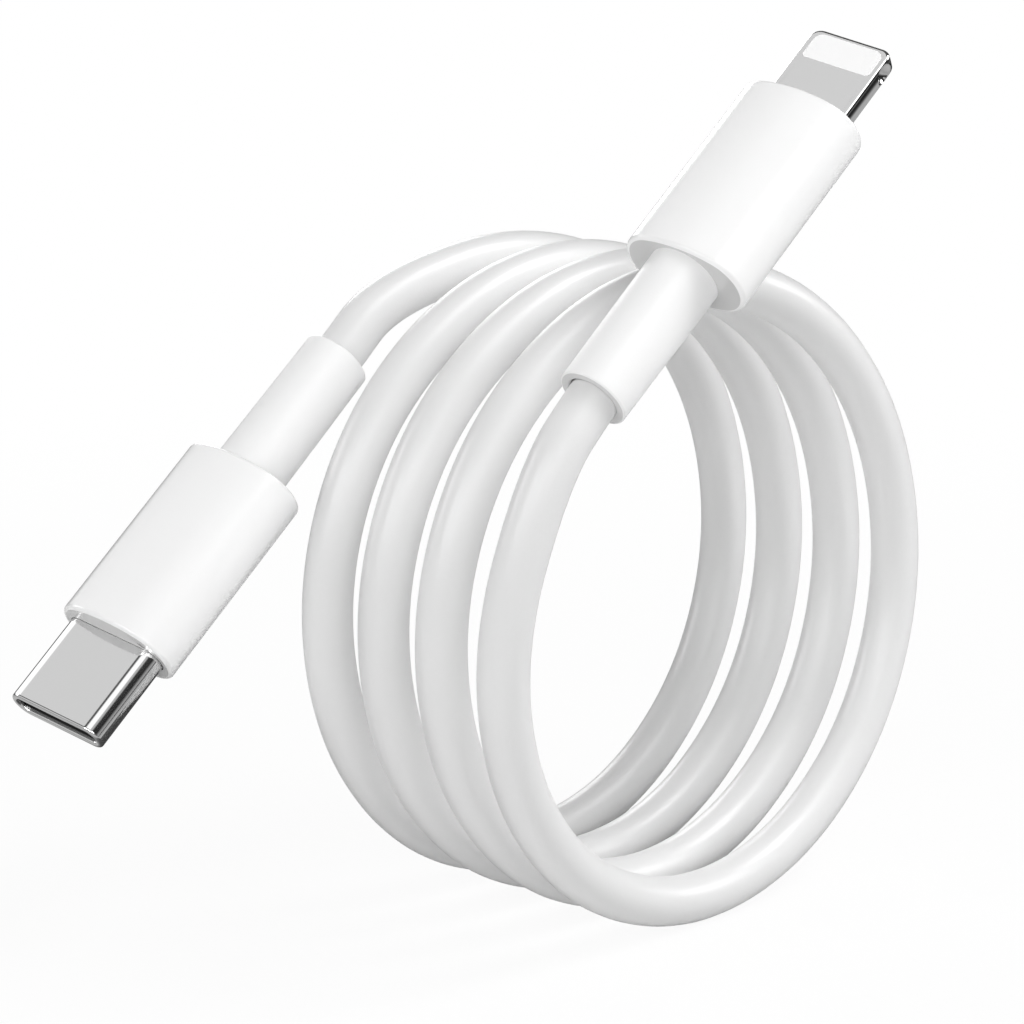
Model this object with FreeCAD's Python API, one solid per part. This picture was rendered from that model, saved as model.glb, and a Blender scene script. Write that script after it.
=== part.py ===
# Charging cable: a round cord wound in four open turns that stands on its edge, with an oval plug
# on the first end and a thin flat plug on the last end. Both plugs have the same housing and relief.
# Millimetres. +Z is up, the coil's axis lies along Y and its near turn faces -Y.
import FreeCAD, Part
import math
import os

Vector = FreeCAD.Vector

# Cord and coil. Angles are in degrees, clockwise from the top as seen from the front.
cord_diameter = 3.65
coil_radius = 22.5
turn_pitch = 5.92
turn_count = 4
stand_cut = 0.5
quarter_turn_angle = 90
first_turn_angle = 30
last_turn_angle = -150
gap_sample_count = 900

# Where the cord enters each relief: the angle at which it leaves the circle, how far outside the
# circle it stands, how far back along the tangent it starts, and how far it stands off the coil's spacing.
# The oval plug's angle counts from the first turn's top, and the flat plug's from the last turn's.
# Both plugs are rolled by the same angle about their own axes.
oval_angle = -40.3
oval_lift = 0.2
oval_run = 1.35
oval_sway = 1.3
flat_angle = -39.5
flat_lift = 1.5
flat_run = 1.9
flat_sway = 2.0
plug_roll_angle = -16.5

# Housing, the same on both plugs
housing_width = 9.7
housing_thickness = 6.4
housing_side_radius = 2.9
housing_length = 15.6
housing_wall = 0.5
housing_edge_radius = 0.3

# Strain relief: a sleeve that widens towards the housing, with a neck in the housing's wall and a
# collar behind it
relief_end_wall = 0.75
relief_root_wall = 0.85
relief_length = 11.6
relief_edge_radius = 0.35
neck_wall = 0.525
collar_inset = 0.75
collar_length = 1.2

# Crimped ring on the cord's end, and the wires that leave the cord
ferrule_wall = 0.3
ferrule_length = 1.8
ferrule_gap = 0.2
wire_diameter = 0.9
wire_spacing = 1.1
wire_length = 2.6

# Shield can around the board
can_side_inset = 0.9
can_broad_inset = 1.4
can_corner_radius = 1.2
can_wall = 0.2

# Board and what is soldered to it
board_side_gap = 0.3
board_thickness = 0.6
board_setback = 0.6
chip_width = 2.4
chip_gap = 0.25
chip_height = 0.7
passive_length = 0.6
passive_width = 0.4
passive_height = 0.35
passive_spacing = 1.5
passive_count = 3

# Metal contacts
contact_thickness = 0.12
contact_tail = 1.4

# Oval plug: shell, insulator, contacts, latch and ground springs
shell_width = 8.25
shell_thickness = 2.4
shell_wall = 0.3
shell_reach = 7.1
shell_embed = 3.5
shell_lip_radius = 0.14
insulator_clearance = 0.05
insulator_setback = 0.25
insulator_tail = 1.0
mouth_side_wall = 0.375
mouth_depth = 6.3
oval_contact_count = 12
oval_contact_side_gap = 0.52
oval_contact_width = 0.26
oval_contact_setback = 0.4
contact_dip = 0.08
contact_crest_setback = 1.2
contact_slope_length = 3.0
latch_thickness = 0.15
latch_height = 0.5
latch_setback = 0.9
latch_crest = 0.15
latch_crest_setback = 0.7
latch_slope_length = 1.6
spring_side_gap = 0.225
spring_length = 2.0
spring_setback = 1.4
spring_rail = 0.5
spring_depth = 0.1
spring_finger_count = 3
spring_finger_width = 1.1

# Flat plug: steel frame, white insert with its windows, contacts
frame_width = 6.7
frame_thickness = 1.5
frame_edge_radius = 0.15
frame_corner_radius = 0.95
frame_reach = 7.2
frame_tail = 1.0
notch_radius = 1.1
notch_depth = 0.36
notch_setback = 1.6
window_side_rail = 0.55
window_length = 2.35
window_setback = 0.4
window_front_radius = 0.7
window_back_radius = 0.3
core_side_inset = 0.1
core_thickness = 0.9
core_tail = 0.8
flat_contact_count = 8
flat_contact_width = 0.42
pad_side_gap = 0.28
pad_end_gap = 0.35

# How far a cutting tool reaches past what it cuts, and how closely two stations are told apart
overshoot = 1.0
station_tolerance = 1e-4

# Stations along a plug, from the relief's end, where the cord enters, towards the tip. The coil's
# tube runs straight for one diameter inside the relief and meets the plug's own piece of cord there.
cord_joint = cord_diameter
housing_back = relief_length
housing_front = housing_back + housing_length
cavity_back = housing_back + housing_wall
cavity_front = housing_front - housing_wall
collar_front = cavity_back + collar_length
ferrule_back = collar_front + ferrule_gap
ferrule_front = ferrule_back + ferrule_length
cord_end = ferrule_front + ferrule_gap
can_back = cord_end
can_front = housing_front - shell_embed
board_back = can_back + board_setback
wire_front = cord_end + wire_length
oval_tip = housing_front + shell_reach
flat_tip = housing_front + frame_reach
insulator_back = can_front - insulator_tail
insulator_front = oval_tip - insulator_setback
mouth_back = insulator_front - mouth_depth
frame_back = can_front - frame_tail
core_back = frame_back - core_tail
window_front = flat_tip - window_setback
window_back = window_front - window_length

# Widths, heights and radii that follow from the sizes above
cord_radius = cord_diameter / 2
relief_end_radius = cord_radius + relief_end_wall
relief_root_radius = cord_radius + relief_root_wall
neck_radius = cord_radius + neck_wall
can_width = housing_width - 2 * can_side_inset
can_thickness = housing_thickness - 2 * can_broad_inset
board_width = can_width - 2 * (can_wall + board_side_gap)
contact_inner = board_thickness / 2
contact_outer = contact_inner + contact_thickness
mouth_width = shell_width - 2 * (shell_wall + insulator_clearance + mouth_side_wall)
mouth_height = 2 * contact_outer
spring_width = shell_width - shell_thickness - 2 * spring_side_gap
window_width = frame_width - 2 * window_side_rail
core_width = window_width - 2 * core_side_inset


# A wire through straight lines and round stretches: each entry is a point, or a pair of
# points for an arc, the one it passes through and the one it ends on.
def outline(start, *stretches):
    edges = []
    here = start
    for stretch in stretches:
        if isinstance(stretch, tuple):
            edges.append(Part.Arc(here, stretch[0], stretch[1]).toShape())
            here = stretch[1]
        else:
            edges.append(Part.LineSegment(here, stretch).toShape())
            here = stretch
    return Part.Wire(edges)


# A solid between two stations along the plug, over a closed outline drawn at height 0.
def prism(wire, back, front):
    solid = Part.Face(wire).extrude(Vector(0, 0, front - back))
    solid.translate(Vector(0, 0, back))
    return solid


# An oval of two broad arcs and two side arcs that run into each other smoothly.
def oval(width, thickness, side_radius):
    side = width / 2 - side_radius
    half = thickness / 2
    broad = (side**2 + half**2 - side_radius**2) / (2 * (half - side_radius))
    reach = broad - side_radius
    join_x = side + side_radius * side / reach
    join_y = side_radius * (broad - half) / reach
    return outline(
        Vector(-join_x, join_y, 0),
        (Vector(0, half, 0), Vector(join_x, join_y, 0)),
        (Vector(width / 2, 0, 0), Vector(join_x, -join_y, 0)),
        (Vector(0, -half, 0), Vector(-join_x, -join_y, 0)),
        (Vector(-width / 2, 0, 0), Vector(-join_x, join_y, 0)),
    )


# A slot with flat broad sides and half-round ends.
def slot(width, thickness):
    radius = thickness / 2
    side = width / 2 - radius
    return outline(
        Vector(-side, radius, 0),
        Vector(side, radius, 0),
        (Vector(width / 2, 0, 0), Vector(side, -radius, 0)),
        Vector(-side, -radius, 0),
        (Vector(-width / 2, 0, 0), Vector(-side, radius, 0)),
    )


# A rectangle whose two low corners and two high corners are rounded.
def rounded_box(low_x, low_y, high_x, high_y, low_radius, high_radius):
    low_bend = low_radius * (1 - math.sqrt(0.5))
    high_bend = high_radius * (1 - math.sqrt(0.5))
    return outline(
        Vector(low_x + low_radius, low_y, 0),
        Vector(high_x - low_radius, low_y, 0),
        (Vector(high_x - low_bend, low_y + low_bend, 0), Vector(high_x, low_y + low_radius, 0)),
        Vector(high_x, high_y - high_radius, 0),
        (Vector(high_x - high_bend, high_y - high_bend, 0), Vector(high_x - high_radius, high_y, 0)),
        Vector(low_x + high_radius, high_y, 0),
        (Vector(low_x + high_bend, high_y - high_bend, 0), Vector(low_x, high_y - high_radius, 0)),
        Vector(low_x, low_y + low_radius, 0),
        (Vector(low_x + low_bend, low_y + low_bend, 0), Vector(low_x + low_radius, low_y, 0)),
    )


# A rounded rectangle around the plug's axis.
def rounded_section(width, thickness, radius):
    return rounded_box(-width / 2, -thickness / 2, width / 2, thickness / 2, radius, radius)


# A plate whose outline is drawn in the plug's plan, across (X) and along (Z), and whose
# thickness runs from the low side to the high side (Y).
def plan_plate(wire, low_side, high_side):
    plate = Part.Face(wire).extrude(Vector(0, 0, high_side - low_side))
    plate.rotate(Vector(0, 0, 0), Vector(1, 0, 0), 90)
    plate.translate(Vector(0, high_side, 0))
    return plate


# A block between two corners.
def block(low_x, low_y, low_z, high_x, high_y, high_z):
    return Part.makeBox(high_x - low_x, high_y - low_y, high_z - low_z, Vector(low_x, low_y, low_z))


# A round bar along the plug's axis.
def bar(radius, back, front, x=0, y=0):
    return Part.makeCylinder(radius, front - back, Vector(x, y, back))


# A strip of sheet: its edge outline is drawn along the plug (Z) and through it (Y), and it is
# as wide as stated around x.
def strip(points, x, width):
    corners = [Vector(x - width / 2, y, z) for z, y in points]
    face = Part.Face(Part.makePolygon(corners + corners[:1]))
    return face.extrude(Vector(width, 0, 0))


# Evenly spaced places on both sides of the plug's middle.
def row(count, pitch):
    return [(index - (count - 1) / 2) * pitch for index in range(count)]


# The places of strips of one width, the outer two of which reach the ends of the room they share.
def row_across(count, room, width):
    return row(count, (room - width) / (count - 1))


# The same solid turned half a turn about the plug's axis, for the other broad side.
def other_side(shape):
    turned = shape.copy()
    turned.rotate(Vector(0, 0, 0), Vector(0, 0, 1), 180)
    return turned


# The edges of a solid that lie at one station along the plug.
def edges_at(shape, station):
    found = []
    for edge in shape.Edges:
        box = edge.BoundBox
        if abs(box.ZMin - station) < station_tolerance and abs(box.ZMax - station) < station_tolerance:
            found.append(edge)
    return found


def housing_outline(inset):
    return oval(
        housing_width - 2 * inset,
        housing_thickness - 2 * inset,
        housing_side_radius - inset,
    )


# The white housing: an oval shell closed at both ends, open for the neck and for the metal tip.
def make_housing(tip_outline):
    body = prism(housing_outline(0), housing_back, housing_front)
    rims = edges_at(body, housing_back) + edges_at(body, housing_front)
    body = body.makeFillet(housing_edge_radius, rims)
    body = body.cut(prism(housing_outline(housing_wall), cavity_back, cavity_front))
    body = body.cut(bar(neck_radius, housing_back - overshoot, cavity_back + overshoot))
    return body.cut(prism(tip_outline, can_front, housing_front + overshoot))


def collar():
    return prism(housing_outline(collar_inset), cavity_back, collar_front)


# The strain relief: a round sleeve with a soft edge, locked in the housing by its neck and collar.
def make_relief():
    sleeve = Part.makeCone(relief_end_radius, relief_root_radius, relief_length)
    sleeve = sleeve.makeFillet(relief_edge_radius, edges_at(sleeve, 0))
    sleeve = sleeve.fuse(bar(neck_radius, relief_length, cavity_back))
    sleeve = sleeve.fuse(collar()).removeSplitter()
    return sleeve.cut(bar(cord_radius, -overshoot, collar_front + overshoot))


# The moulding that fills the housing around the can, the crimped ring and the relief's collar.
def make_inner_mould(tip_outline):
    mould = prism(housing_outline(housing_wall), cavity_back, cavity_front)
    mould = mould.cut(collar())
    mould = mould.cut(bar(cord_radius, collar_front - overshoot, cord_end))
    mould = mould.cut(bar(cord_radius + ferrule_wall, ferrule_back, ferrule_front))
    mould = mould.cut(prism(can_outline(), can_back, can_front))
    return mould.cut(prism(tip_outline, can_front - overshoot, cavity_front + overshoot))


def can_outline():
    return rounded_section(can_width, can_thickness, can_corner_radius)


# The shield can, in two halves that meet on the plug's middle plane.
def make_can_halves(passage):
    can = prism(can_outline(), can_back, can_front)
    room = rounded_section(
        can_width - 2 * can_wall,
        can_thickness - 2 * can_wall,
        can_corner_radius - can_wall,
    )
    can = can.cut(prism(room, can_back + can_wall, can_front - can_wall))
    can = can.cut(bar(wire_circle(), can_back - overshoot, can_back + overshoot))
    can = can.cut(prism(passage, can_front - overshoot, can_front + overshoot))
    side = can_width
    upper = can.common(block(-side, 0, can_back - overshoot, side, side, can_front + overshoot))
    lower = can.common(block(-side, -side, can_back - overshoot, side, 0, can_front + overshoot))
    return upper, lower


# The round hole that lets the four wires through.
def wire_circle():
    across = math.hypot(wire_spacing / 2, wire_height())
    return across + wire_diameter / 2


# The wires lie on both faces of the board.
def wire_height():
    return board_thickness / 2 + wire_diameter / 2


def make_wires():
    wires = []
    for x in row(2, wire_spacing):
        for y in (wire_height(), -wire_height()):
            wires.append(bar(wire_diameter / 2, cord_end, wire_front, x, y))
    return Part.makeCompound(wires)


def make_ferrule():
    ring = bar(cord_radius + ferrule_wall, ferrule_back, ferrule_front)
    return ring.cut(bar(cord_radius, ferrule_back - overshoot, ferrule_front + overshoot))


def make_board(board_front):
    half = board_width / 2
    side = board_thickness / 2
    return block(-half, -side, board_back, half, side, board_front)


# The chip fills the upper face between the wires and the contacts' tails.
def make_chip(board_front):
    half = chip_width / 2
    side = board_thickness / 2
    back = wire_front + chip_gap
    front = board_front - contact_tail - chip_gap
    return block(-half, side, back, half, side + chip_height, front)


def make_passives(board_front):
    middle = (wire_front + board_front - contact_tail) / 2
    side = board_thickness / 2
    parts = []
    for x in row(passive_count, passive_spacing):
        parts.append(
            block(
                x - passive_width / 2,
                -side - passive_height,
                middle - passive_length / 2,
                x + passive_width / 2,
                -side,
                middle + passive_length / 2,
            )
        )
    return Part.makeCompound(parts)


# The drawn steel shell of the oval plug, with a softened lip around its mouth.
def make_shell():
    shell = prism(slot(shell_width, shell_thickness), can_front, oval_tip)
    bore = slot(shell_width - 2 * shell_wall, shell_thickness - 2 * shell_wall)
    shell = shell.cut(prism(bore, can_front - overshoot, oval_tip + overshoot))
    return shell.makeFillet(shell_lip_radius, edges_at(shell, oval_tip))


def insulator_outline():
    gap = 2 * (shell_wall + insulator_clearance)
    return slot(shell_width - gap, shell_thickness - gap)


# One spring contact: a tail on the board, a straight run and a crest that dips into the mouth.
def oval_contact(x):
    crest = oval_tip - contact_crest_setback
    bend = crest - contact_slope_length
    end = oval_tip - oval_contact_setback
    low = contact_inner - contact_dip
    points = [
        (insulator_back - contact_tail, contact_inner),
        (bend, contact_inner),
        (crest, low),
        (end, contact_inner),
        (end, contact_outer),
        (crest, low + contact_thickness),
        (bend, contact_outer),
        (insulator_back - contact_tail, contact_outer),
    ]
    return strip(points, x, oval_contact_width)


def make_oval_contacts():
    room = mouth_width - 2 * oval_contact_side_gap
    places = row_across(oval_contact_count, room, oval_contact_width)
    return Part.makeCompound([oval_contact(x) for x in places])


# The latch: a plate between the contact rows with one sprung arm along each side of the mouth.
def make_latch():
    side = mouth_width / 2
    inner = side - latch_thickness
    arm_front = oval_tip - latch_setback
    crest = arm_front - latch_crest_setback
    bend = crest - latch_slope_length
    root = mouth_back - latch_thickness
    arm_outline = Part.makePolygon(
        [
            Vector(inner, root, 0),
            Vector(side, root, 0),
            Vector(side, bend, 0),
            Vector(side - latch_crest, crest, 0),
            Vector(side, arm_front, 0),
            Vector(inner, arm_front, 0),
            Vector(inner - latch_crest, crest, 0),
            Vector(inner, bend, 0),
            Vector(inner, root, 0),
        ]
    )
    arm = plan_plate(arm_outline, -latch_height / 2, latch_height / 2)
    middle = block(-side, -latch_thickness / 2, insulator_back, side, latch_thickness / 2, mouth_back)
    return middle.fuse(arm).fuse(other_side(arm)).removeSplitter()


# A ground spring: a rail with fingers towards the mouth, between the insulator and the shell.
def make_ground_spring():
    outer = shell_thickness / 2 - shell_wall
    inner = outer - insulator_clearance - spring_depth
    front = oval_tip - spring_setback
    back = front - spring_length
    spring = block(-spring_width / 2, inner, back, spring_width / 2, outer, back + spring_rail)
    for x in row_across(spring_finger_count, spring_width, spring_finger_width):
        left = x - spring_finger_width / 2
        spring = spring.fuse(block(left, inner, back, left + spring_finger_width, outer, front))
    return spring.removeSplitter()


# The black insulator inside the shell, open at the mouth and cut out for what it holds.
def make_insulator(held):
    body = prism(insulator_outline(), insulator_back, insulator_front)
    half_width = mouth_width / 2
    half_height = mouth_height / 2
    opening = insulator_front + overshoot
    body = body.cut(block(-half_width, -half_height, mouth_back, half_width, half_height, opening))
    for piece in held:
        body = body.cut(piece)
    return body


def frame_section():
    return rounded_section(frame_width, frame_thickness, frame_edge_radius)


# The white insert: a thin core inside the frame and a thicker block that fills both windows.
def insert_body():
    half = frame_thickness / 2
    window = rounded_box(
        -window_width / 2,
        window_back,
        window_width / 2,
        window_front,
        window_back_radius,
        window_front_radius,
    )
    core = block(
        -core_width / 2,
        -core_thickness / 2,
        core_back,
        core_width / 2,
        core_thickness / 2,
        window_back + window_back_radius,
    )
    return core.fuse(plan_plate(window, -half, half)).removeSplitter()


# One flat contact: a tail on the board, a run through the core, a riser and a pad in the window.
def flat_contact(x):
    top = frame_thickness / 2
    riser = window_back + pad_end_gap
    end = window_front - pad_end_gap
    tail = core_back - contact_tail
    points = [
        (tail, contact_inner),
        (riser + contact_thickness, contact_inner),
        (riser + contact_thickness, top - contact_thickness),
        (end, top - contact_thickness),
        (end, top),
        (riser, top),
        (riser, contact_outer),
        (tail, contact_outer),
    ]
    return strip(points, x, flat_contact_width)


def make_flat_contacts():
    room = window_width - 2 * pad_side_gap
    places = row_across(flat_contact_count, room, flat_contact_width)
    return Part.makeCompound([flat_contact(x) for x in places])


def make_insert(held):
    body = insert_body()
    for piece in held:
        body = body.cut(piece)
    return body


# The steel frame of the flat plug: a plate with soft edges and rounded corners at the tip, and a round
# latch notch in each narrow side.
def make_frame():
    half = frame_width / 2
    thick = frame_thickness / 2
    stock_back = frame_back - frame_corner_radius
    plan = rounded_box(-half, stock_back, half, flat_tip, frame_corner_radius, frame_corner_radius)
    body = plan_plate(plan, -thick, thick)
    rims = [edge for edge in body.Edges if edge.BoundBox.YLength < station_tolerance]
    body = body.makeFillet(frame_edge_radius, rims)
    body = body.common(block(-half, -thick, frame_back, half, thick, flat_tip))
    for side in (-1, 1):
        centre = Vector(side * (half - notch_depth + notch_radius), 0, flat_tip - notch_setback)
        body = body.cut(Part.makeSphere(notch_radius, centre))
    return body.cut(insert_body())


def outward(angle):
    turn = math.radians(angle)
    return Vector(math.sin(turn), 0, math.cos(turn))


def forward(angle):
    turn = math.radians(angle)
    return Vector(math.cos(turn), 0, -math.sin(turn))


# The cord's centre line on the coil, which comes nearer to the front as it turns.
def coil_point(angle):
    return coil_radius * outward(angle) + Vector(0, coil_depth(angle), 0)


def coil_depth(angle):
    return turn_pitch * (turn_count / 2 - angle / 360)


def coil_direction(angle):
    climb = turn_pitch / (2 * math.pi * coil_radius)
    return (forward(angle) - Vector(0, climb, 0)).normalize()


# Where the cord meets a relief's end.
def exit_point(angle, lift, run, sway):
    return (
        (coil_radius + lift) * outward(angle)
        - run * forward(angle)
        + Vector(0, coil_depth(angle) + sway, 0)
    )


full_angle = 360 * turn_count
flat_turn_angle = full_angle + flat_angle
oval_exit = exit_point(oval_angle, oval_lift, oval_run, oval_sway)
flat_exit = exit_point(flat_turn_angle, flat_lift, flat_run, -flat_sway)


# An arc that leaves a point along one side of a corner and arrives along the other, both sides
# being as long as each other. It also gives the arc's radius.
def corner_arc(start, corner, end):
    half_chord = (end - start).Length / 2
    side = (corner - start).Length
    flatness = half_chord / side
    middle = (start + end + 2 * flatness * corner) / (2 + 2 * flatness)
    radius = side * flatness / math.sqrt(1 - flatness**2)
    return Part.Arc(start, middle, end), radius


# Two arcs that join two points, tangent to both directions and to each other.
def tangent_arcs(start, start_way, end, end_way):
    span = end - start
    ways = start_way + end_way
    bend = 2 * (1 - start_way.dot(end_way))
    along = span.dot(ways)
    side = (math.sqrt(along**2 + bend * span.dot(span)) - along) / bend
    first_corner = start + side * start_way
    last_corner = end - side * end_way
    middle = (first_corner + last_corner) / 2
    first, first_radius = corner_arc(start, first_corner, middle)
    last, last_radius = corner_arc(middle, last_corner, end)
    return [first, last], [first_radius, last_radius]


# The cord's path: straight inside the first relief, round the coil by quarter turns, and straight
# again inside the last relief.
def cord_path():
    oval_way = forward(oval_angle)
    flat_way = forward(flat_turn_angle)
    stations = [(oval_exit, oval_way)]
    quarters = (full_angle + last_turn_angle - first_turn_angle) // quarter_turn_angle
    for index in range(quarters + 1):
        angle = first_turn_angle + index * quarter_turn_angle
        stations.append((coil_point(angle), coil_direction(angle)))
    stations.append((flat_exit, flat_way))
    first_end = oval_exit - cord_joint * oval_way
    last_end = flat_exit + cord_joint * flat_way
    curves = [Part.LineSegment(first_end, oval_exit)]
    radii = []
    for (start, start_way), (end, end_way) in zip(stations, stations[1:]):
        arcs, arc_radii = tangent_arcs(start, start_way, end, end_way)
        curves.extend(arcs)
        radii.extend(arc_radii)
    curves.append(Part.LineSegment(flat_exit, last_end))
    return Part.Wire([curve.toShape() for curve in curves]), first_end, radii


# The lowest point of the coil, on which the flat is cut.
def coil_bottom():
    return -coil_radius - cord_radius


# The cord from one relief to the other: one unbroken tube, cut flat where the coil stands.
def make_coil():
    path, first_end, radii = cord_path()
    section = Part.Wire(Part.makeCircle(cord_radius, first_end, forward(oval_angle)))
    tube = path.makePipeShell([section], True, False)
    expected = math.pi * cord_radius**2 * path.Length
    print("cord between the reliefs' ends, mm:", round(path.Length - 2 * cord_joint, 1))
    print("tube volume over section times length:", round(tube.Volume / expected, 5))
    print("smallest and largest bend radius, mm:", round(min(radii), 2), round(max(radii), 2))
    print("least gap between turns, mm:", round(least_gap(path), 3))
    side = 2 * coil_radius
    floor = coil_bottom()
    return tube.cut(block(-side, -side, floor - overshoot, side, side, floor + stand_cut))


# The least distance between the cord's skin and itself, measured on points along the path. Points
# nearer than a quarter turn along the cord count as the same stretch.
def least_gap(path):
    spacing = path.Length / gap_sample_count
    points = [vertex for edge in path.OrderedEdges for vertex in edge.discretize(Distance=spacing)]
    skip = round(math.radians(quarter_turn_angle) * coil_radius / spacing)
    nearest = path.Length
    for index, point in enumerate(points):
        for other in points[index + skip:]:
            nearest = min(nearest, point.distanceToPoint(other))
    return nearest - cord_diameter


# A plug lies along the cord's straight end, rolled about its own axis, its broad face outwards.
def place_plug(shape, entry, angle, tip_way):
    roll = math.radians(plug_roll_angle)
    front = Vector(0, -1, 0)
    broad_way = math.cos(roll) * front + math.sin(roll) * outward(angle)
    thick_way = -math.sin(roll) * front + math.cos(roll) * outward(angle)
    axis = tip_way * forward(angle)
    across = thick_way.cross(axis)
    if across.dot(broad_way) < 0:
        broad_way = -broad_way
    matrix = FreeCAD.Matrix(
        broad_way.x, thick_way.x, axis.x, entry.x,
        broad_way.y, thick_way.y, axis.y, entry.y,
        broad_way.z, thick_way.z, axis.z, entry.z,
        0, 0, 0, 1,
    )
    placed = shape.copy()
    placed.Placement = FreeCAD.Placement(matrix)
    return placed


# What both plugs have: housing, relief, inner mould, can, crimped ring, wires, board and its parts.
def common_pieces(tip_outline, passage, board_front):
    upper_can, lower_can = make_can_halves(passage)
    return {
        "housing": make_housing(tip_outline),
        "relief": make_relief(),
        "inner_mould": make_inner_mould(tip_outline),
        "shield_upper": upper_can,
        "shield_lower": lower_can,
        "ferrule": make_ferrule(),
        "wires": make_wires(),
        "board": make_board(board_front),
        "chip": make_chip(board_front),
        "passives": make_passives(board_front),
        "cord_end": bar(cord_radius, cord_joint, cord_end),
    }


def oval_pieces():
    pieces = common_pieces(slot(shell_width, shell_thickness), insulator_outline(), insulator_back)
    upper = make_oval_contacts()
    lower = other_side(upper)
    latch = make_latch()
    spring = make_ground_spring()
    pieces["shell"] = make_shell()
    pieces["contacts_upper"] = upper
    pieces["contacts_lower"] = lower
    pieces["latch"] = latch
    pieces["ground_spring_upper"] = spring
    pieces["ground_spring_lower"] = other_side(spring)
    pieces["insulator"] = make_insulator([upper, lower, latch, spring, other_side(spring)])
    return pieces


def flat_pieces():
    pieces = common_pieces(frame_section(), frame_section(), core_back)
    upper = make_flat_contacts()
    lower = other_side(upper)
    pieces["frame"] = make_frame()
    pieces["contacts_upper"] = upper
    pieces["contacts_lower"] = lower
    pieces["insert"] = make_insert([upper, lower])
    return pieces


# Every node, in the coil's own place, with the coil's centre at the origin.
def all_nodes():
    nodes = {"cord_coil": make_coil()}
    for name, shape in oval_pieces().items():
        nodes["oval_" + name] = place_plug(shape, oval_exit, oval_angle, -1)
    for name, shape in flat_pieces().items():
        nodes["flat_" + name] = place_plug(shape, flat_exit, flat_turn_angle, 1)
    return nodes


# The origin is the middle of the space that the cable takes up, at the level it stands on.
def origin_of(nodes):
    box = FreeCAD.BoundBox()
    for shape in nodes.values():
        box.add(shape.optimalBoundingBox(False, False))
    return Vector((box.XMin + box.XMax) / 2, (box.YMin + box.YMax) / 2, coil_bottom() + stand_cut)


def main():
    os.makedirs("parts", exist_ok=True)
    nodes = all_nodes()
    origin = origin_of(nodes)
    print("coil's centre from the origin, mm:", [round(-value, 3) for value in origin])
    for name, shape in nodes.items():
        shape.translate(-origin)
        shape.exportStep(os.path.join("parts", name + ".step"))
        print(name, "valid" if shape.isValid() else "NOT VALID", len(shape.Solids), round(shape.Volume, 3))


main()
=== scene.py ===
import math

import bpy
import numpy as np
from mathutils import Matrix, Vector


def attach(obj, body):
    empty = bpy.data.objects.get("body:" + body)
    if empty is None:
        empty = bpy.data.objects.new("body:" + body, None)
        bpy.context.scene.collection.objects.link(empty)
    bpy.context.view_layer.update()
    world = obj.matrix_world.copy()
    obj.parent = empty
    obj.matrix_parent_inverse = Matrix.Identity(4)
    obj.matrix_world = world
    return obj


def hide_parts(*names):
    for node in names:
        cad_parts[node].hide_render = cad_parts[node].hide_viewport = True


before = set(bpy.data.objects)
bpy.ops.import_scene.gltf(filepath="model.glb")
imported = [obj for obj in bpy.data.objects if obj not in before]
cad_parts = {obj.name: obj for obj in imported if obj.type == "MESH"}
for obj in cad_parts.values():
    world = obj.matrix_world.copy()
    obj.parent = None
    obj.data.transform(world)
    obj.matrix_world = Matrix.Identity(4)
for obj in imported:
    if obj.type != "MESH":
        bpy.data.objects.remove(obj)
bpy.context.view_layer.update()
mm = 0.001

# how finely the pieces are drawn
fineness = {
    "outlinePoints": 192,
    "arcSteps": 400,
    "cornerSteps": 60,
    "rimSteps": 9,
    "planCorner": 25,
    "planSides": (200, 40, 200, 40),
    "support": 0.03,  # a ring this close to a rim keeps the face beside it shading flat
    "sharpAngle": 32,
    "tubeRound": 14,
    "tubeSteps": 16,
}

# the coil: its angles run clockwise from the top, as seen from the front
coil = {
    "centre": (9.401, -0.306, 23.825),
    "radius": 22.5,
    "pitch": 5.92,
    "turns": 4,
    "cordDiameter": 3.65,
    "straightEnd": 3.65,
    "firstJoin": 30,  # by here the cord has left the oval plug's line for the circle
    "lastJoin": 1290,  # from here it leaves the circle for the flat plug's line
    "stepAngle": 30,
}

# where each plug's relief ends: its angle on the coil, how far it is moved out, along and across,
# and which way along the circle the plug points
ovalPlace = {"angle": -40.3, "lift": 0.2, "run": -1.35, "sway": 1.3, "way": -1}
flatPlace = {"angle": 1440 - 39.5, "lift": 1.5, "run": -1.9, "sway": -2.0, "way": 1}
plugRoll = -16.5


def outward(angle):
    # unit vector from the coil's axis to the cord, for an array of angles
    turn = np.radians(angle)
    return np.stack([np.sin(turn), 0 * turn, np.cos(turn)], -1)


def forward(angle):
    # unit vector along the circle, a quarter turn on from outward
    turn = np.radians(angle)
    return np.stack([np.cos(turn), 0 * turn, -np.sin(turn)], -1)


def coilDepth(angle):
    # how far a turn stands behind the coil's middle: one pitch less for each turn
    return coil["pitch"] * (coil["turns"] / 2 - angle / 360)


def reliefEnd(place):
    # where the cord enters a relief: on the circle, moved out, along and across it
    angle = np.float64(place["angle"])
    depth = np.array([0, coilDepth(angle) + place["sway"], 0])
    return (coil["radius"] + place["lift"]) * outward(angle) + place["run"] * forward(angle) + depth


def plugAxes(place):
    # broad, thick and lengthwise directions: the front and outward ways turned by the roll
    roll = math.radians(plugRoll)
    front = np.array([0.0, -1.0, 0.0])
    out = outward(np.float64(place["angle"]))
    broad = math.cos(roll) * front + math.sin(roll) * out
    thick = -math.sin(roll) * front + math.cos(roll) * out
    axis = place["way"] * forward(np.float64(place["angle"]))
    return broad, thick, axis


def plugPoints(place, across, through, along):
    # the relief's end plus each plug coordinate times its direction; arrays in, metres out
    broad, thick, axis = plugAxes(place)
    start = np.array(coil["centre"]) + reliefEnd(place)
    across, through, along = np.broadcast_arrays(across, through, along)
    return (start + across[..., None] * broad + through[..., None] * thick + along[..., None] * axis) * mm


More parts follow.
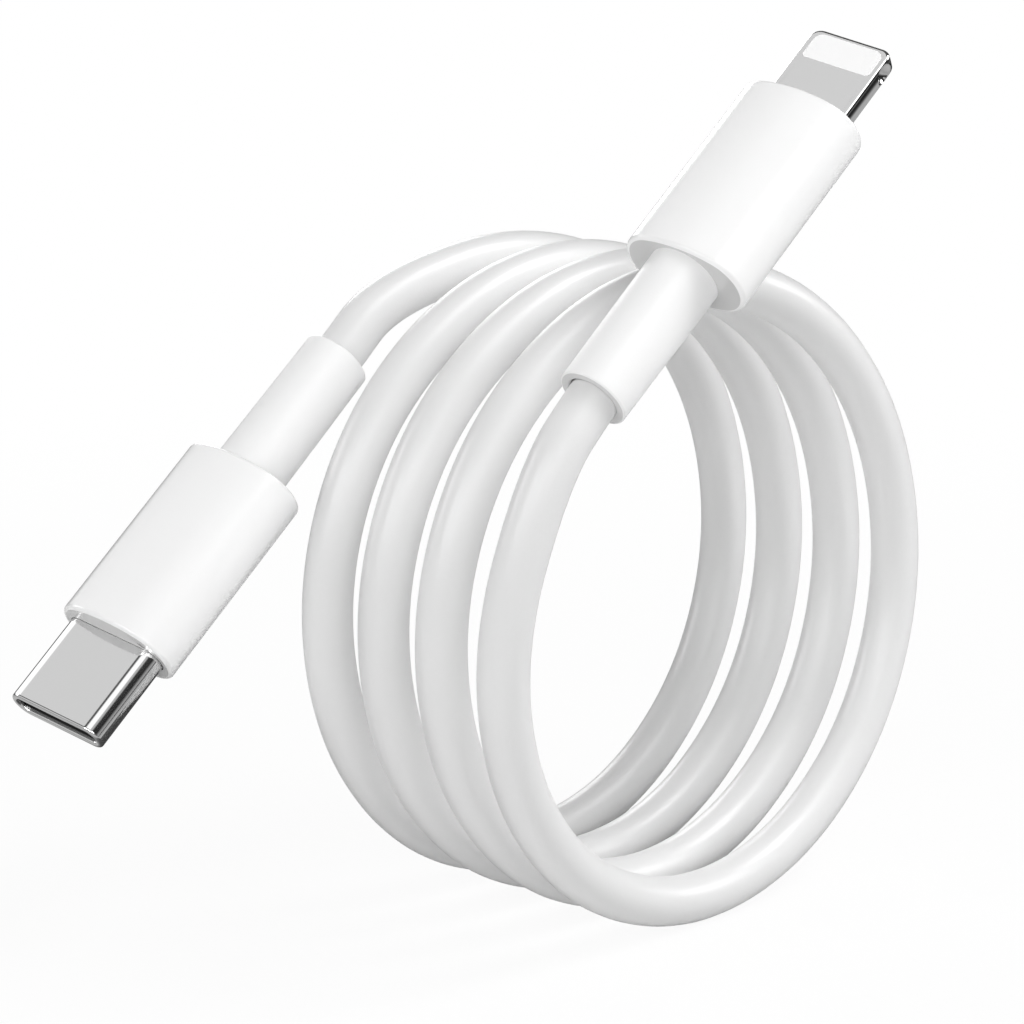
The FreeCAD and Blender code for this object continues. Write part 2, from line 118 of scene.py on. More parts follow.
def addNode(tree, kind, **settings):
    # a new node with its settings
    node = tree.nodes.new(kind)
    for name, value in settings.items():
        setattr(node, name, value)
    return node


def feed(target, value):
    # gives a socket its number, or a link from another node's output
    if isinstance(value, bpy.types.NodeSocket):
        target.id_data.links.new(value, target)
    else:
        target.default_value = value


def mathNode(tree, operation, *values):
    # one sum on numbers or other nodes' outputs
    node = addNode(tree, "ShaderNodeMath", operation=operation)
    for target, value in zip(node.inputs, values):
        feed(target, value)
    return node.outputs[0]


def scaled(tree, color, share):
    # a colour times a share
    node = addNode(tree, "ShaderNodeVectorMath", operation="SCALE")
    feed(node.inputs[0], color)
    feed(node.inputs["Scale"], share)
    return node.outputs[0]


def remapped(tree, value, lowest, highest, start=0.0, end=1.0, **settings):
    # runs from start to end while the value runs from lowest to highest
    node = addNode(tree, "ShaderNodeMapRange", **settings)
    for socket, given in (("Value", value), ("From Min", lowest), ("From Max", highest),
                          ("To Min", start), ("To Max", end)):
        feed(node.inputs[socket], given)
    return node.outputs["Result"]


def blended(tree, share, first, second):
    # the first number at a share of 0, the second at 1
    node = addNode(tree, "ShaderNodeMix", data_type="FLOAT")
    for number, given in ((0, share), (2, first), (3, second)):
        feed(node.inputs[number], given)
    return node.outputs[0]


def blendShaders(tree, share, first, second, target):
    # the first shader at a share of 0, the second at 1
    node = addNode(tree, "ShaderNodeMixShader")
    for number, given in enumerate((share, first, second)):
        feed(node.inputs[number], given)
    feed(target, node.outputs[0])


grain = {"fineDetail": 3, "broadScale": 140, "broadDetail": 4, "bumpDistance": 0.04}


def makeGrainGroup():
    # two noises on Object coordinates: the fine one gives the relief, and the sum of both, less
    # one, varies the roughness and the tint
    group = bpy.data.node_groups.new("surfaceGrain", "ShaderNodeTree")
    face = group.interface
    for name, kind, value in (
        ("Color", "NodeSocketColor", (0.8, 0.8, 0.8, 1)),
        ("Tint Change", "NodeSocketFloat", 0.03),
        ("Roughness", "NodeSocketFloat", 0.4),
        ("Roughness Change", "NodeSocketFloat", 0.1),
        ("Grain Scale", "NodeSocketFloat", 4000.0),
        ("Grain Depth", "NodeSocketFloat", 0.1),
    ):
        face.new_socket(name, in_out="INPUT", socket_type=kind).default_value = value
    face.new_socket("Color", in_out="OUTPUT", socket_type="NodeSocketColor")
    face.new_socket("Roughness", in_out="OUTPUT", socket_type="NodeSocketFloat")
    face.new_socket("Normal", in_out="OUTPUT", socket_type="NodeSocketVector")
    given = addNode(group, "NodeGroupInput").outputs
    out = addNode(group, "NodeGroupOutput").inputs
    spot = addNode(group, "ShaderNodeTexCoord").outputs["Object"]

    def noise(scale, detail):
        node = addNode(group, "ShaderNodeTexNoise")
        for socket, value in (("Vector", spot), ("Scale", scale), ("Detail", detail)):
            feed(node.inputs[socket], value)
        return node.outputs["Fac"]

    fine = noise(given["Grain Scale"], grain["fineDetail"])
    broad = noise(grain["broadScale"], grain["broadDetail"])
    bump = addNode(group, "ShaderNodeBump")
    feed(bump.inputs["Distance"], grain["bumpDistance"] * mm)
    feed(bump.inputs["Strength"], given["Grain Depth"])
    feed(bump.inputs["Height"], fine)
    change = mathNode(group, "SUBTRACT", mathNode(group, "ADD", fine, broad), 1.0)
    tint = mathNode(group, "MULTIPLY_ADD", change, given["Tint Change"], 1.0)
    rough = mathNode(group, "MULTIPLY_ADD", change, given["Roughness Change"], given["Roughness"])
    feed(out["Color"], scaled(group, given["Color"], tint))
    feed(out["Roughness"], rough)
    feed(out["Normal"], bump.outputs["Normal"])
    return group


grainGroup = makeGrainGroup()


def makeMaterial(name, color, rough, tintChange=0.02, roughChange=0.08, grainScale=4000, grainDepth=0.1,
                 metal=0.0, coat=0.0, coatRough=0.08, endPaintedShade=1.0):
    # a Principled surface whose colour, roughness and relief come from the shared grain; points
    # marked as an end face keep only that share of the colour, as painted shade on those faces
    material = bpy.data.materials.new(name)
    material.use_nodes = True
    tree = material.node_tree
    grained = addNode(tree, "ShaderNodeGroup", node_tree=grainGroup)
    for socket, value in (("Color", (*color, 1)), ("Tint Change", tintChange), ("Roughness", rough),
                          ("Roughness Change", roughChange), ("Grain Scale", grainScale),
                          ("Grain Depth", grainDepth)):
        feed(grained.inputs[socket], value)
    # painted shade: the marked end faces are darkened in the base colour
    paintedShadeMark = addNode(tree, "ShaderNodeAttribute", attribute_name="endFacePaintedShade")
    share = mathNode(tree, "MULTIPLY_ADD", paintedShadeMark.outputs["Fac"], endPaintedShade - 1, 1.0)
    shader = tree.nodes["Principled BSDF"]
    for socket, value in (("Base Color", scaled(tree, grained.outputs["Color"], share)),
                          ("Roughness", grained.outputs["Roughness"]),
                          ("Normal", grained.outputs["Normal"]), ("Metallic", metal),
                          ("Coat Weight", coat), ("Coat Roughness", coatRough)):
        feed(shader.inputs[socket], value)
    return material


finish = {
    "cord": makeMaterial("cordRubber", (0.76, 0.76, 0.76), 0.36, tintChange=0.015, grainScale=6000,
                         grainDepth=0.12, coat=0.08),
    # the housing's and the relief's end faces keep only 0.68 and 0.75 of their colour: painted shade
    "housing": makeMaterial("housingPlastic", (0.9, 0.9, 0.9), 0.22, tintChange=0.01, roughChange=0.04,
                            grainScale=5000, grainDepth=0.03, coat=0.25, endPaintedShade=0.68),
    "relief": makeMaterial("reliefRubber", (0.87, 0.87, 0.87), 0.4, tintChange=0.012, grainScale=6000,
                           endPaintedShade=0.75),
    "mould": makeMaterial("mouldPlastic", (0.5, 0.5, 0.5), 0.6),
    "can": makeMaterial("canSteel", (0.62, 0.63, 0.65), 0.35, metal=1.0),
    "ferrule": makeMaterial("ferruleMetal", (0.72, 0.6, 0.38), 0.35, metal=1.0),
    "wire": makeMaterial("wireJacket", (0.7, 0.18, 0.12), 0.45),
    "board": makeMaterial("boardGreen", (0.06, 0.26, 0.13), 0.35, tintChange=0.1),
    "chip": makeMaterial("chipBlack", (0.03, 0.03, 0.03), 0.5),
    "passive": makeMaterial("passiveTan", (0.5, 0.38, 0.25), 0.5),
    "steel": makeMaterial("plugSteel", (0.85, 0.85, 0.85), 0.09, roughChange=0.03, grainScale=3000,
                          grainDepth=0.01, metal=1.0),
    "gold": makeMaterial("contactGold", (0.83, 0.66, 0.32), 0.22, metal=1.0),
    "pad": makeMaterial("contactPad", (0.9, 0.9, 0.89), 0.3),
    "spring": makeMaterial("springSteel", (0.68, 0.68, 0.7), 0.3, metal=1.0),
    "insulator": makeMaterial("insulatorBlack", (0.02, 0.02, 0.02), 0.38),
    "insert": makeMaterial("insertWhite", (0.95, 0.95, 0.95), 0.25, tintChange=0.01, roughChange=0.04),
}
nodeFinish = {
    "coil": "cord", "cord_end": "cord", "housing": "housing", "relief": "relief", "inner_mould": "mould",
    "shield_upper": "can", "shield_lower": "can", "ferrule": "ferrule", "wires": "wire", "board": "board",
    "chip": "chip", "passives": "passive", "shell": "steel", "frame": "steel", "contacts_upper": "gold",
    "contacts_lower": "gold", "latch": "spring", "ground_spring_upper": "spring",
    "ground_spring_lower": "spring", "insulator": "insulator", "insert": "insert",
}
for name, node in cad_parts.items():
    look = "pad" if name.startswith("flat_contacts") else nodeFinish[name.split("_", 1)[1]]
    node.data.materials.clear()
    node.data.materials.append(finish[look])
print("materials ready")


def addPiece(name, data, node):
    # a piece of the cable's one body, in place of its solid
    piece = bpy.data.objects.new(name, data)
    bpy.context.scene.collection.objects.link(piece)
    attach(piece, "cable")
    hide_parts(node)
    return piece


def closedGrid(name, points, look, node, ringShaped=True, paintedShadeRows=()):
    # rows run along the profile and columns round the outline, where they always close; the last
    # row joins the first one too on a piece with an opening through it
    rows, columns = points.shape[:2]
    row, column = np.meshgrid(np.arange(rows if ringShaped else rows - 1), np.arange(columns), indexing="ij")
    below = (row + 1) % rows
    right = (column + 1) % columns
    quads = np.stack([row * columns + column, row * columns + right, below * columns + right,
                      below * columns + column], -1).reshape(-1, 4)
    mesh = bpy.data.meshes.new(name)
    mesh.from_pydata(points.reshape(-1, 3), [], quads)
    cornerU = np.stack([column, column + 1, column + 1, column], -1) / columns
    cornerV = np.stack([row, row, row + 1, row + 1], -1) / rows
    mesh.uv_layers.new(name="UVMap").data.foreach_set("uv", np.stack([cornerU, cornerV], -1).ravel())
    mesh.polygons.foreach_set("use_smooth", np.ones(len(mesh.polygons), bool))
    mesh.set_sharp_from_angle(angle=math.radians(fineness["sharpAngle"]))
    mesh.materials.append(finish[look])
    # the listed rows are marked so that their material darkens them: painted shade
    if paintedShadeRows:
        paintedShadeMarks = np.repeat(np.isin(np.arange(rows), paintedShadeRows), columns).astype(np.float32)
        mesh.attributes.new("endFacePaintedShade", "FLOAT", "POINT").data.foreach_set("value", paintedShadeMarks)
    return addPiece(name, mesh, node)


def evenly(points):
    # the same closed line, starting above its middle, with its points equal lengths apart
    closed = np.concatenate([points, points[:1]])
    length = np.concatenate([[0], np.cumsum(np.linalg.norm(np.diff(closed, axis=0), axis=1))])
    quarter = len(closed) // 4
    start = np.interp(0, closed[:quarter, 0], length[:quarter])
    shares = np.arange(fineness["outlinePoints"]) / fineness["outlinePoints"]
    wanted = (start + shares * length[-1]) % length[-1]
    return np.stack([np.interp(wanted, length, closed[:, axis]) for axis in (0, 1)], -1)


def ovalOutline(width, thickness, sideRadius):
    # four arcs, two broad and two at the sides, tangent to each other
    side = width / 2 - sideRadius
    half = thickness / 2
    broad = (side**2 + half**2 - sideRadius**2) / (2 * (half - sideRadius))
    lean = math.atan2(side, broad - half)
    top = np.linspace(-lean, lean, fineness["arcSteps"], endpoint=False)
    end = np.linspace(lean, math.pi - lean, fineness["arcSteps"], endpoint=False)
    topArc = np.stack([broad * np.sin(top), broad * np.cos(top) - (broad - half)], -1)
    sideArc = np.stack([side + sideRadius * np.sin(end), sideRadius * np.cos(end)], -1)
    return evenly(np.concatenate([topArc, sideArc, -topArc, -sideArc]))


def slotOutline(width, thickness):
    # two straight sides and two half circles
    radius = thickness / 2
    turn = np.linspace(0, math.pi, fineness["arcSteps"])
    cap = np.stack([width / 2 - radius + radius * np.sin(turn), radius * np.cos(turn)], -1)
    return evenly(np.concatenate([cap, -cap]))


def roundedOutline(width, thickness, radius):
    # a rectangle with four round corners
    turn = np.linspace(0, math.pi / 2, fineness["cornerSteps"])
    across = width / 2 - radius + radius * np.sin(turn)
    through = thickness / 2 - radius + radius * np.cos(turn)
    half = np.concatenate([np.stack([across, through], -1), np.stack([across, -through], -1)[::-1]])
    return evenly(np.concatenate([half, -half]))


def circleOutline(radius):
    # a circle, whose points stand opposite those of the other outlines
    turn = np.arange(fineness["outlinePoints"]) / fineness["outlinePoints"] * 2 * math.pi
    return np.stack([radius * np.sin(turn), radius * np.cos(turn)], -1)


def roundedPlan(halfWidth, back, front, backRadius, frontRadius):
    # a closed plan outline, clockwise from its front corner; each has the same numbers of points on
    # its sides and in its round corners, so that two of them stand point against point
    turn = np.linspace(0, math.pi / 2, fineness["planCorner"])
    sine, cosine = np.sin(turn), np.cos(turn)
    corners = [
        (halfWidth - frontRadius + frontRadius * sine, front - frontRadius + frontRadius * cosine),
        (halfWidth - backRadius + backRadius * cosine, back + backRadius - backRadius * sine),
        (-halfWidth + backRadius - backRadius * sine, back + backRadius - backRadius * cosine),
        (-halfWidth + frontRadius - frontRadius * cosine, front - frontRadius + frontRadius * sine),
    ]
    corners = [np.stack(corner, -1) for corner in corners]
    runs = []
    for number, between in enumerate(fineness["planSides"]):
        here, there = corners[number][-1], corners[(number + 1) % 4][0]
        runs += [corners[number], here + (there - here) * np.linspace(0, 1, between + 2)[1:-1, None]]
    return np.concatenate(runs)


def softRim(section, edge, face, way):
    # rings of a quarter round from a wall to its end face: the outline is drawn in by 1 - cosine
    # while it moves ahead, or back where the way is -1, by the sine
    turn = np.linspace(0, math.pi / 2, fineness["rimSteps"])
    return [(section(edge * inset), face - way * edge * (1 - advance))
            for inset, advance in zip(1 - np.cos(turn), np.sin(turn))]


def stations(start, end, count):
    # places along a wall, with a support close to each end
    near = math.copysign(fineness["support"], end - start)
    return np.concatenate([[start + near], np.linspace(start, end, count)[1:-1], [end - near]])


def loft(place, rings):
    # each ring is an outline and its station; they become the rows of a grid
    flat = np.stack([outline for outline, station in rings])
    along = np.array([station for outline, station in rings])[:, None]
    return plugPoints(place, flat[..., 0], flat[..., 1], along)


housingShape = {"width": 9.7, "thickness": 6.4, "sideRadius": 2.9, "length": 15.6, "edge": 0.3, "wall": 0.5,
                "rings": 24}
reliefShape = {"endDiameter": 5.15, "rootDiameter": 5.35, "length": 11.6, "edge": 0.15, "neck": 4.7,
               "boreGap": 0.02, "flare": 0.12, "rings": 16}
housingBack = reliefShape["length"]
housingFront = housingBack + housingShape["length"]
neck = circleOutline(reliefShape["neck"] / 2)


def housingOval(inset):
    # the housing's outline, drawn in by the inset
    return ovalOutline(housingShape["width"] - 2 * inset, housingShape["thickness"] - 2 * inset,
                       housingShape["sideRadius"] - inset)


def makeHousing(name, place, opening, node):
    # outer wall with soft rims, back face with the neck's hole, front face with the tip's opening
    wall = housingShape["wall"]
    edge = housingShape["edge"]
    support = housingOval(edge + fineness["support"])
    rings = [(neck, housingBack + wall), (neck, housingBack), (support, housingBack)]
    rings += softRim(housingOval, edge, housingBack, -1)[::-1]
    rings += [(housingOval(0), station)
              for station in stations(housingBack + edge, housingFront - edge, housingShape["rings"])]
    rings += softRim(housingOval, edge, housingFront, 1)
    rings += [(support, housingFront), (opening, housingFront), (opening, housingFront - wall)]
    front = len(rings) - 2
    rings += [(housingOval(wall), housingFront - wall), (housingOval(wall), housingBack + wall)]
    # the rows of the back and front faces take the painted shade
    return closedGrid(name, loft(place, rings), "housing", node,
                      paintedShadeRows=[1, 2, front - 1, front])


def makeRelief(name, place, node):
    # a sleeve that widens evenly from its soft end to the housing, with a plain bore
    edge = reliefShape["edge"]
    cordRadius = coil["cordDiameter"] / 2
    radius = reliefShape["endDiameter"] / 2
    growth = (reliefShape["rootDiameter"] / 2 - radius) / reliefShape["length"]
    bore = circleOutline(cordRadius + reliefShape["boreGap"])
    deep = housingBack + housingShape["wall"]
    rings = [(bore, deep), (bore, reliefShape["flare"])]
    rings += [(circleOutline(cordRadius + reliefShape["flare"]), 0.0)]
    rings += softRim(lambda inset: circleOutline(radius - inset), edge, 0.0, -1)[::-1]
    rings += [(circleOutline(radius + growth * station), station)
              for station in [*stations(edge, housingBack, reliefShape["rings"]), housingBack]]
    rings += [(neck, housingBack), (neck, deep)]
    # the rows of the relief's end take the painted shade
    return closedGrid(name, loft(place, rings), "relief", node, paintedShadeRows=[1, 2, 3])


shellShape = {"width": 8.25, "thickness": 2.4, "wall": 0.3, "reach": 7.1, "embed": 3.5, "lip": 0.2,
              "rim": 0.5, "openingGap": 0.07, "rings": 24}


def shellSlot(inset):
    # the shell's outline, drawn in by the inset
    return slotOutline(shellShape["width"] - 2 * inset, shellShape["thickness"] - 2 * inset)


def makeShell(name, place, node):
    # a slot-shaped tube whose mouth is turned in to a thicker, rounded rim
    wall = shellShape["wall"]
    lip = shellShape["lip"]
    rim = shellShape["rim"]
    tip = housingFront + shellShape["reach"]
    back = housingFront - shellShape["embed"]
    rings = [(shellSlot(wall), back), (shellSlot(0), back)]
    rings += [(shellSlot(0), station) for station in stations(back, tip - lip, shellShape["rings"])]
    rings += softRim(shellSlot, lip, tip, 1)
    rings += softRim(lambda inset: shellSlot(rim - inset), lip, tip, 1)[::-1]
    rings += [(shellSlot(rim), tip - rim), (shellSlot(wall), tip - rim - lip)]
    return closedGrid(name, loft(place, rings), "steel", node)


frameShape = {"width": 6.7, "thickness": 1.5, "edge": 0.25, "corner": 0.95, "reach": 7.2, "embed": 4.5,
              "crown": 0.1, "notchRadius": 1.1, "notchDepth": 0.36, "notchSetback": 1.6, "rings": 14}
windowShape = {"width": 5.6, "length": 2.35, "setback": 0.4, "frontRadius": 0.7, "backRadius": 0.3}
insertShape = {"rise": 0.012, "corner": 0.04, "coreWidth": 5.4, "coreThickness": 0.9, "coreCorner": 0.05,
               "coreBack": 21.9, "endRings": 12}
frameTip = housingFront + frameShape["reach"]
windowFront = frameTip - windowShape["setback"]
windowBack = windowFront - windowShape["length"]


def makeFrame(name, place, node):
    # a plate carried round its window: the profile runs over the top, round the edge, underneath
    # and up the window's wall. The narrow sides step back by the crown times their height squared,
    # and a ball on each pushes the wall inwards to its own surface
    halfWidth = frameShape["width"] / 2
    half = frameShape["thickness"] / 2
    edge = frameShape["edge"]
    outer = roundedPlan(halfWidth, housingFront - frameShape["embed"], frameTip, edge, frameShape["corner"])
    inner = roundedPlan(windowShape["width"] / 2, windowBack, windowFront, windowShape["backRadius"],
                        windowShape["frontRadius"])
    tangent = np.roll(outer, -1, 0) - np.roll(outer, 1, 0)
    normal = np.stack([tangent[:, 1], -tangent[:, 0]], -1)
    normal /= np.linalg.norm(normal, axis=1)[:, None]

    def drawnIn(inset):
        return outer + normal * inset

    support = drawnIn(edge + fineness["support"])
    rows = [(inner, half), (support, half)]
    rows += softRim(drawnIn, edge, half, 1)[::-1]
    rows += [(outer, height) for height in stations(half - edge, edge - half, frameShape["rings"])]
    rows += softRim(drawnIn, edge, -half, -1)
    rows += [(support, -half), (inner, -half)]
    plan = np.stack([line for line, height in rows])
    heights = np.array([height for line, height in rows])[:, None]
    side, along = plan[..., 0], plan[..., 1]
    fromBall = (along - frameTip + frameShape["notchSetback"])**2 + heights**2
    reach = np.sqrt(np.maximum(frameShape["notchRadius"]**2 - fromBall, 0))
    ball = halfWidth - frameShape["notchDepth"] + frameShape["notchRadius"] - reach
    crown = frameShape["crown"] * np.minimum((heights / (half - edge))**2, 1)
    onSide = np.clip((np.abs(side) - halfWidth + edge) / edge, 0, 1)
    side = np.sign(side) * np.minimum(np.abs(side) - crown * onSide, ball)
    return closedGrid(name, plugPoints(place, side, heights, along), "steel", node)


def makeInsert(name, place, node):
    # rings along the plug: the thin core, then the block in both windows, whose width follows its
    # round corners and whose faces stand a hair over the frame's
    thin = insertShape["coreThickness"] / 2
    core = roundedPlan(insertShape["coreWidth"] / 2, -thin, thin, insertShape["coreCorner"],
                       insertShape["coreCorner"])
    turn = np.linspace(0, math.pi / 2, insertShape["endRings"])
    cosine, sine = np.cos(turn), np.sin(turn)
    backRadius, frontRadius = windowShape["backRadius"], windowShape["frontRadius"]
    places = np.concatenate([windowBack + backRadius * (1 - cosine),
                             windowFront - frontRadius * (1 - cosine[::-1])])
    widths = windowShape["width"] / 2 - np.concatenate([backRadius * (1 - sine),
                                                        frontRadius * (1 - sine[::-1])])
    face = frameShape["thickness"] / 2 + insertShape["rise"]
    block = [roundedPlan(width, -face, face, insertShape["corner"], insertShape["corner"])
             for width in widths]
    rings = [(core * 0, insertShape["coreBack"]), (core, insertShape["coreBack"]), (core, windowBack)]
    rings += [*zip(block, places), (block[-1] * 0, windowFront)]
    return closedGrid(name, loft(place, rings), "insert", node, ringShaped=False)


shellOpening = shellSlot(-shellShape["openingGap"])
frameOpening = roundedOutline(frameShape["width"], frameShape["thickness"], frameShape["edge"])
makeHousing("ovalHousing", ovalPlace, shellOpening, "oval_housing")
makeRelief("ovalRelief", ovalPlace, "oval_relief")
makeShell("ovalShell", ovalPlace, "oval_shell")
flatHousing = makeHousing("flatHousing", flatPlace, frameOpening, "flat_housing")
flatRelief = makeRelief("flatRelief", flatPlace, "flat_relief")
flatFrame = makeFrame("flatFrame", flatPlace, "flat_frame")
flatInsert = makeInsert("flatInsert", flatPlace, "flat_insert")
print("plugs ready")


def fadeOut(share):
    # 1 at a share of 0, falling smoothly to 0 at a share of 1
    share = np.clip(share, 0, 1)
    return 1 - share * share * (3 - 2 * share)


def cordPoints():
    # control points on a wider circle, so that the spline's own line has the coil's radius, with
    # each plug's shift fading out along it; two more at each end run straight into the relief
    first, last = ovalPlace["angle"], flatPlace["angle"]
    half = coil["stepAngle"] / 2
    steps = round((last - first) / coil["stepAngle"] - 1)
    angle = np.linspace(first + half, last - half, steps + 1)
    atOval = fadeOut((angle - first) / (coil["firstJoin"] - first))
    atFlat = fadeOut((last - angle) / (last - coil["lastJoin"]))
    lift, run, sway = (ovalPlace[shift] * atOval + flatPlace[shift] * atFlat
                       for shift in ("lift", "run", "sway"))
    radius = coil["radius"] / math.cos(math.radians(half)) + lift
    body = radius[:, None] * outward(angle) + run[:, None] * forward(angle)
    body[:, 1] += coilDepth(angle) + sway
    start, end = reliefEnd(ovalPlace), reliefEnd(flatPlace)
    body[0, 1], body[-1, 1] = start[1], end[1]
    lead = start - coil["straightEnd"] * forward(np.float64(first))
    tail = end + coil["straightEnd"] * forward(np.float64(last))
    return (np.concatenate([[lead, start], body, [end, tail]]) + np.array(coil["centre"])) * mm


def makeCord():
    # a round tube on the smooth spline that the control points guide
    points = cordPoints()
    curve = bpy.data.curves.new("cord", "CURVE")
    curve.dimensions = "3D"
    curve.bevel_depth = coil["cordDiameter"] / 2 * mm
    curve.bevel_resolution = fineness["tubeRound"]
    curve.resolution_u = fineness["tubeSteps"]
    spline = curve.splines.new("NURBS")
    spline.points.add(len(points) - 1)
    spline.points.foreach_set("co", np.column_stack([points, np.ones(len(points))]).ravel())
    spline.order_u = 3
    spline.use_endpoint_u = True
    spline.use_smooth = True
    curve.materials.append(finish["cord"])
    return addPiece("cord", curve, "cord_coil")


cord = makeCord()
print("cord ready")


# what the metal reflects beside the lamps: soft strips of light and dark in the world. The angle
# round the oval plug, 0 over its broad face, gives a grey, from one list for each tip, because the
# tips reflect different parts of the way along it: below "between" the oval tip, above it the flat
# one. "along" holds that part, the share of the strips there, and a plain grey added to it; "floor"
# holds a distance from the floor's middle and the floor's grey there
strips = {
    "brightest": 1.3,
    "between": (0.36, 0.44),
    "oval": [(-180, 0.02), (-109, 0.05), (-99, 1.25), (-51, 1.25), (-43, 0.72), (-31, 0.72),
             (-28, 0.1), (-18, 0.1), (-10, 1.2), (16, 1.2), (20, 0.5), (30, 0.45), (36, 0.02),
             (66, 0.02), (80, 0.35), (120, 0.4), (132, 0.02), (180, 0.02)],
    "flat": [(-180, 0.02), (-150, 0.65), (-54, 0.65), (-42, 0.72), (-30, 0.72), (-27, 1.3), (60, 1.3),
             (72, 0.02), (125, 0.02), (176, 0.6), (180, 0.3)],
    "along": [(-1, 0, 0.62), (-0.22, 0, 0.62), (-0.16, 0, 0.12), (0.18, 0, 0.12), (0.22, 1, 0),
              (0.325, 1, 0), (0.35, 0, 0.65), (0.43, 0, 0.65), (0.46, 1, 0), (0.585, 1, 0),
              (0.61, 0, 0.08), (1, 0, 0.08)],
    "floor": [(0, 0.02), (38, 0.03), (46, 0.5), (130, 0.35), (210, 0.45), (300, 0.1), (450, 0.02),
              (2000, 0.02)],
}


def makeRamp(tree, source, points):
    # a grey that follows straight lines through the points (value, grey)
    first, last = points[0][0], points[-1][0]
    ramp = addNode(tree, "ShaderNodeValToRGB")
    feed(ramp.inputs["Fac"], remapped(tree, source, first, last))
    stops = ramp.color_ramp.elements
    for number, (value, grey) in enumerate(points):
        share = (value - first) / (last - first)
        stop = stops[number] if number < 2 else stops.new(share)
        stop.position = share
        level = grey / strips["brightest"]
        stop.color = (level, level, level, 1)
    return mathNode(tree, "MULTIPLY", ramp.outputs["Color"], strips["brightest"])


def makeStrips(tree):
    # the ray's way in the oval plug's own directions: the arc tangent of its broad and thick parts
    # is the angle round the plug, and its third part runs along it
    way = addNode(tree, "ShaderNodeTexCoord").outputs["Generated"]

    def partOf(direction):
        node = addNode(tree, "ShaderNodeVectorMath", operation="DOT_PRODUCT")
        feed(node.inputs[0], way)
        feed(node.inputs[1], direction)
        return node.outputs["Value"]

    broad, thick, axis = plugAxes(ovalPlace)
    angle = mathNode(tree, "DEGREES", mathNode(tree, "ARCTAN2", partOf(broad), partOf(thick)))
    along = partOf(-axis)
    strip = blended(tree, remapped(tree, along, *strips["between"]),
                    makeRamp(tree, angle, strips["oval"]), makeRamp(tree, angle, strips["flat"]))
    shares = makeRamp(tree, along, [(value, share) for value, share, grey in strips["along"]])
    greys = makeRamp(tree, along, [(value, grey) for value, share, grey in strips["along"]])
    return mathNode(tree, "MULTIPLY_ADD", strip, shares, greys)


def glowFor(tree, reflected):
    # the strength of the white background: 1 for the camera, and what metal shows of it
    return blended(tree, addNode(tree, "ShaderNodeLightPath").outputs["Is Glossy Ray"], 1.0, reflected)


def seenDirectly(tree):
    # 1 for rays from the camera, and for those reflected or carried through, else 0
    path = addNode(tree, "ShaderNodeLightPath").outputs
    either = mathNode(tree, "MAXIMUM", path["Is Camera Ray"], path["Is Glossy Ray"])
    return mathNode(tree, "MAXIMUM", either, path["Is Transmission Ray"])


studio = {
    "worldStrength": 0.0,
    "floorHeight": -0.5,
    "floorSize": 4000,
    "floorGrey": 0.85,
    "floorRough": 0.9,
    "floorGlow": 0.93,
    "floorNear": 50,
    "floorFar": 220,
    "lampSize": 220,
    "lampDistance": 500,
    "lampMiddle": 30,
}


def makeWorld():
    # white behind everything, with the strips where metal reflects it; it lights nothing else
    world = bpy.data.worlds.new("studio")
    world.use_nodes = True
    tree = world.node_tree
    plain = tree.nodes["Background"]
    white = addNode(tree, "ShaderNodeBackground")
    for node, strength in ((plain, studio["worldStrength"]), (white, glowFor(tree, makeStrips(tree)))):
        feed(node.inputs["Color"], (1, 1, 1, 1))
        feed(node.inputs["Strength"], strength)
    blendShaders(tree, seenDirectly(tree), plain.outputs[0], white.outputs[0],
                 tree.nodes["World Output"].inputs["Surface"])
    bpy.context.scene.world = world


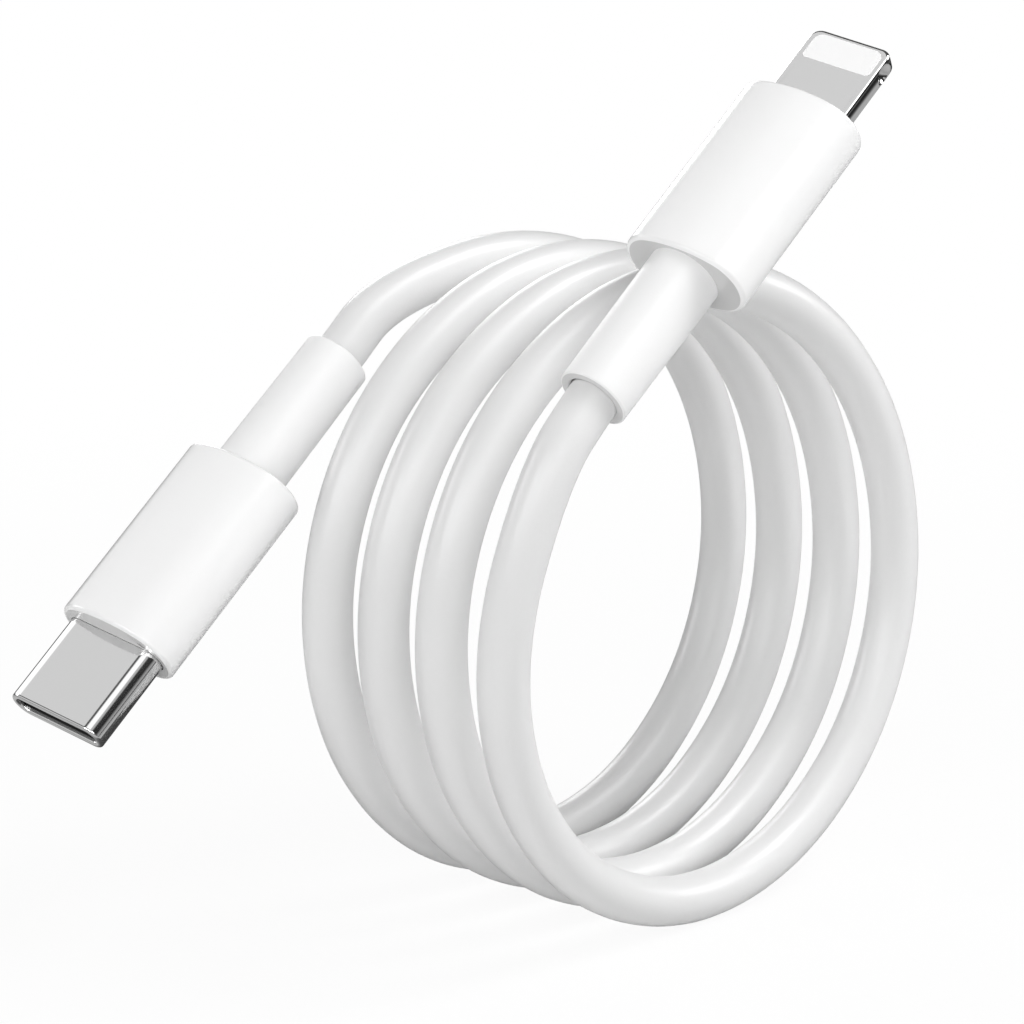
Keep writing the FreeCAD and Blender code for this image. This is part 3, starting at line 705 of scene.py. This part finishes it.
def makeFloor():
    # a flat sheet: white by itself far out, and lit by the lamps too near the cable, where it
    # takes a faint shadow. Metal shows it in greys by the distance from its middle
    mesh = bpy.data.meshes.new("floor")
    half = studio["floorSize"] / 2
    height = studio["floorHeight"]
    corners = np.array([[-half, -half, height], [half, -half, height], [half, half, height],
                        [-half, half, height]]) * mm
    mesh.from_pydata(corners, [], [(0, 1, 2, 3)])
    material = bpy.data.materials.new("floorPaper")
    material.use_nodes = True
    tree = material.node_tree
    paper = tree.nodes["Principled BSDF"]
    grey = studio["floorGrey"]
    feed(paper.inputs["Base Color"], (grey, grey, grey, 1))
    feed(paper.inputs["Roughness"], studio["floorRough"])
    far = addNode(tree, "ShaderNodeVectorMath", operation="LENGTH")
    feed(far.inputs[0], addNode(tree, "ShaderNodeTexCoord").outputs["Object"])
    distance = mathNode(tree, "DIVIDE", far.outputs["Value"], mm)
    glow = addNode(tree, "ShaderNodeEmission")
    feed(glow.inputs["Strength"], glowFor(tree, makeRamp(tree, distance, strips["floor"])))
    white = remapped(tree, distance, studio["floorNear"], studio["floorFar"], studio["floorGlow"], 1.0,
                     interpolation_type="SMOOTHSTEP")
    share = mathNode(tree, "MULTIPLY", seenDirectly(tree), white)
    blendShaders(tree, share, paper.outputs[0], glow.outputs[0],
                 tree.nodes["Material Output"].inputs["Surface"])
    mesh.materials.append(material)
    floor = bpy.data.objects.new("floor", mesh)
    bpy.context.scene.collection.objects.link(floor)


# each lamp: azimuth from the right-hand side towards the back, elevation, power
lamps = {
    "highRight": (-45, 55, 1.25),
    "highFront": (-90, 55, 0.38),
    "lowRight": (-30, 22, 0.70),
    "frontLeft": (-120, 22, 0.42),
    "cameraLeft": (-150, 22, 0.52),
    "left": (180, 22, 0.58),
    "backLeft": (120, 22, 0.50),
    "backRight": (60, 22, 0.53),
}


def aim(name, data, place, way):
    # an object at a place in metres that looks along a direction
    holder = bpy.data.objects.new(name, data)
    holder.location = place
    holder.rotation_mode = "QUATERNION"
    holder.rotation_quaternion = way.to_track_quat("-Z", "Y")
    bpy.context.scene.collection.objects.link(holder)
    return holder


def makeLamps():
    # round soft lamps on a sphere about the cable, all facing its middle
    middle = Vector((0, 0, studio["lampMiddle"] * mm))
    for name, (azimuth, elevation, power) in lamps.items():
        light = bpy.data.lights.new(name, "AREA")
        light.shape = "DISK"
        light.size = studio["lampSize"] * mm
        light.energy = power
        around, up = math.radians(azimuth), math.radians(elevation)
        way = Vector((math.cos(around) * math.cos(up), math.sin(around) * math.cos(up), math.sin(up)))
        aim(name, light, middle + way * studio["lampDistance"] * mm, -way)


view = {"place": (-173.652, -176.226, 85.310), "way": (0.681581, 0.698497, -0.218059), "lens": 123.953,
        "sensor": 36, "nearest": 10, "farthest": 20000}


def makeCamera():
    # the photograph's own standpoint, direction and length of lens
    data = bpy.data.cameras.new("camera")
    data.lens = view["lens"]
    data.sensor_width = view["sensor"]
    data.clip_start = view["nearest"] * mm
    data.clip_end = view["farthest"] * mm
    bpy.context.scene.camera = aim("camera", data, np.array(view["place"]) * mm, Vector(view["way"]))


makeWorld()
makeFloor()
makeLamps()
makeCamera()
bpy.context.scene.view_settings.view_transform = "Standard"
print("studio ready")
